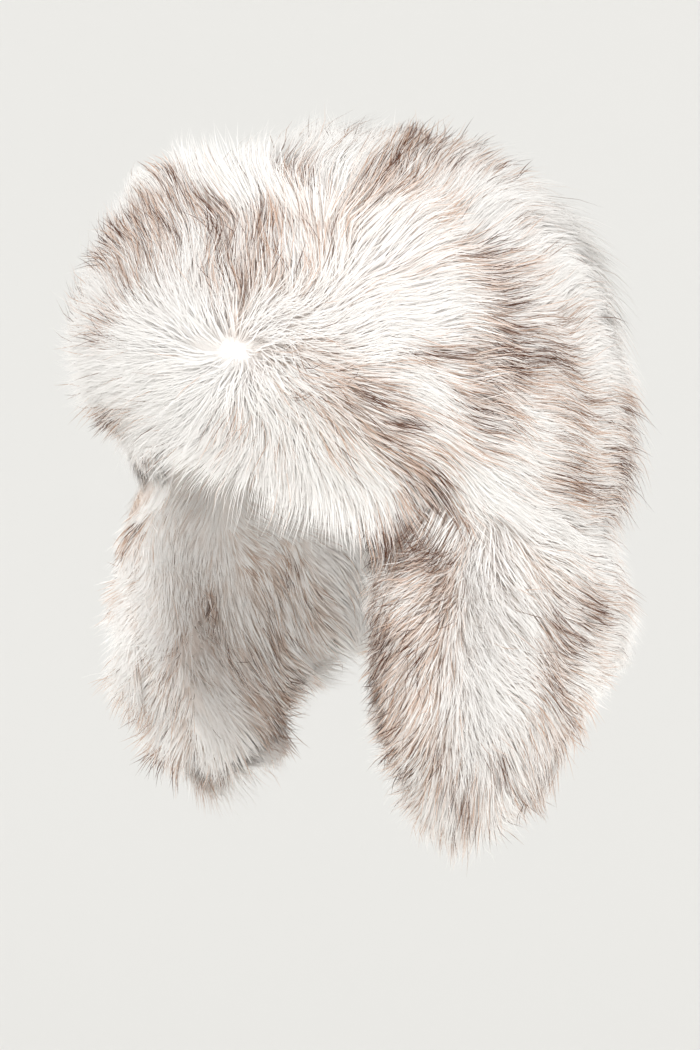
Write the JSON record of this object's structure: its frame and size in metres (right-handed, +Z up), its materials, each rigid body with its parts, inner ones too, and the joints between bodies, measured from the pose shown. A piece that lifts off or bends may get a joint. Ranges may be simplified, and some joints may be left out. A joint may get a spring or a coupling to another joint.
{
  "type": "ushanka",
  "caption": "Trapper hat in long white fur with brown tips, with a turned-up front flap, two hanging ear flaps and a neck flap",
  "frame": {"origin": "centre of the head opening, level with the tops of the wearer's ears", "axes": "-Y is the way the wearer faces, +X is the wearer's left and +Z is up the head"},
  "size_m": [0.2472, 0.2787, 0.3328],
  "materials": {
    "fur": "long soft pile, white with brown tips",
    "lining": "plain woven cloth, matt"
  },
  "bodies": {
    "root": {"crown_wall": "lining", "crown_fur_top": "fur", "crown_fur_left": "fur", "crown_fur_right": "fur", "front_flap_wall": "lining", "front_flap_fur": "fur", "ear_flap_left_wall": "lining", "ear_flap_left_fur": "fur", "ear_flap_right_wall": "lining", "ear_flap_right_fur": "fur", "neck_flap_wall": "lining", "neck_flap_fur": "fur"}
  },
  "joints": []
}
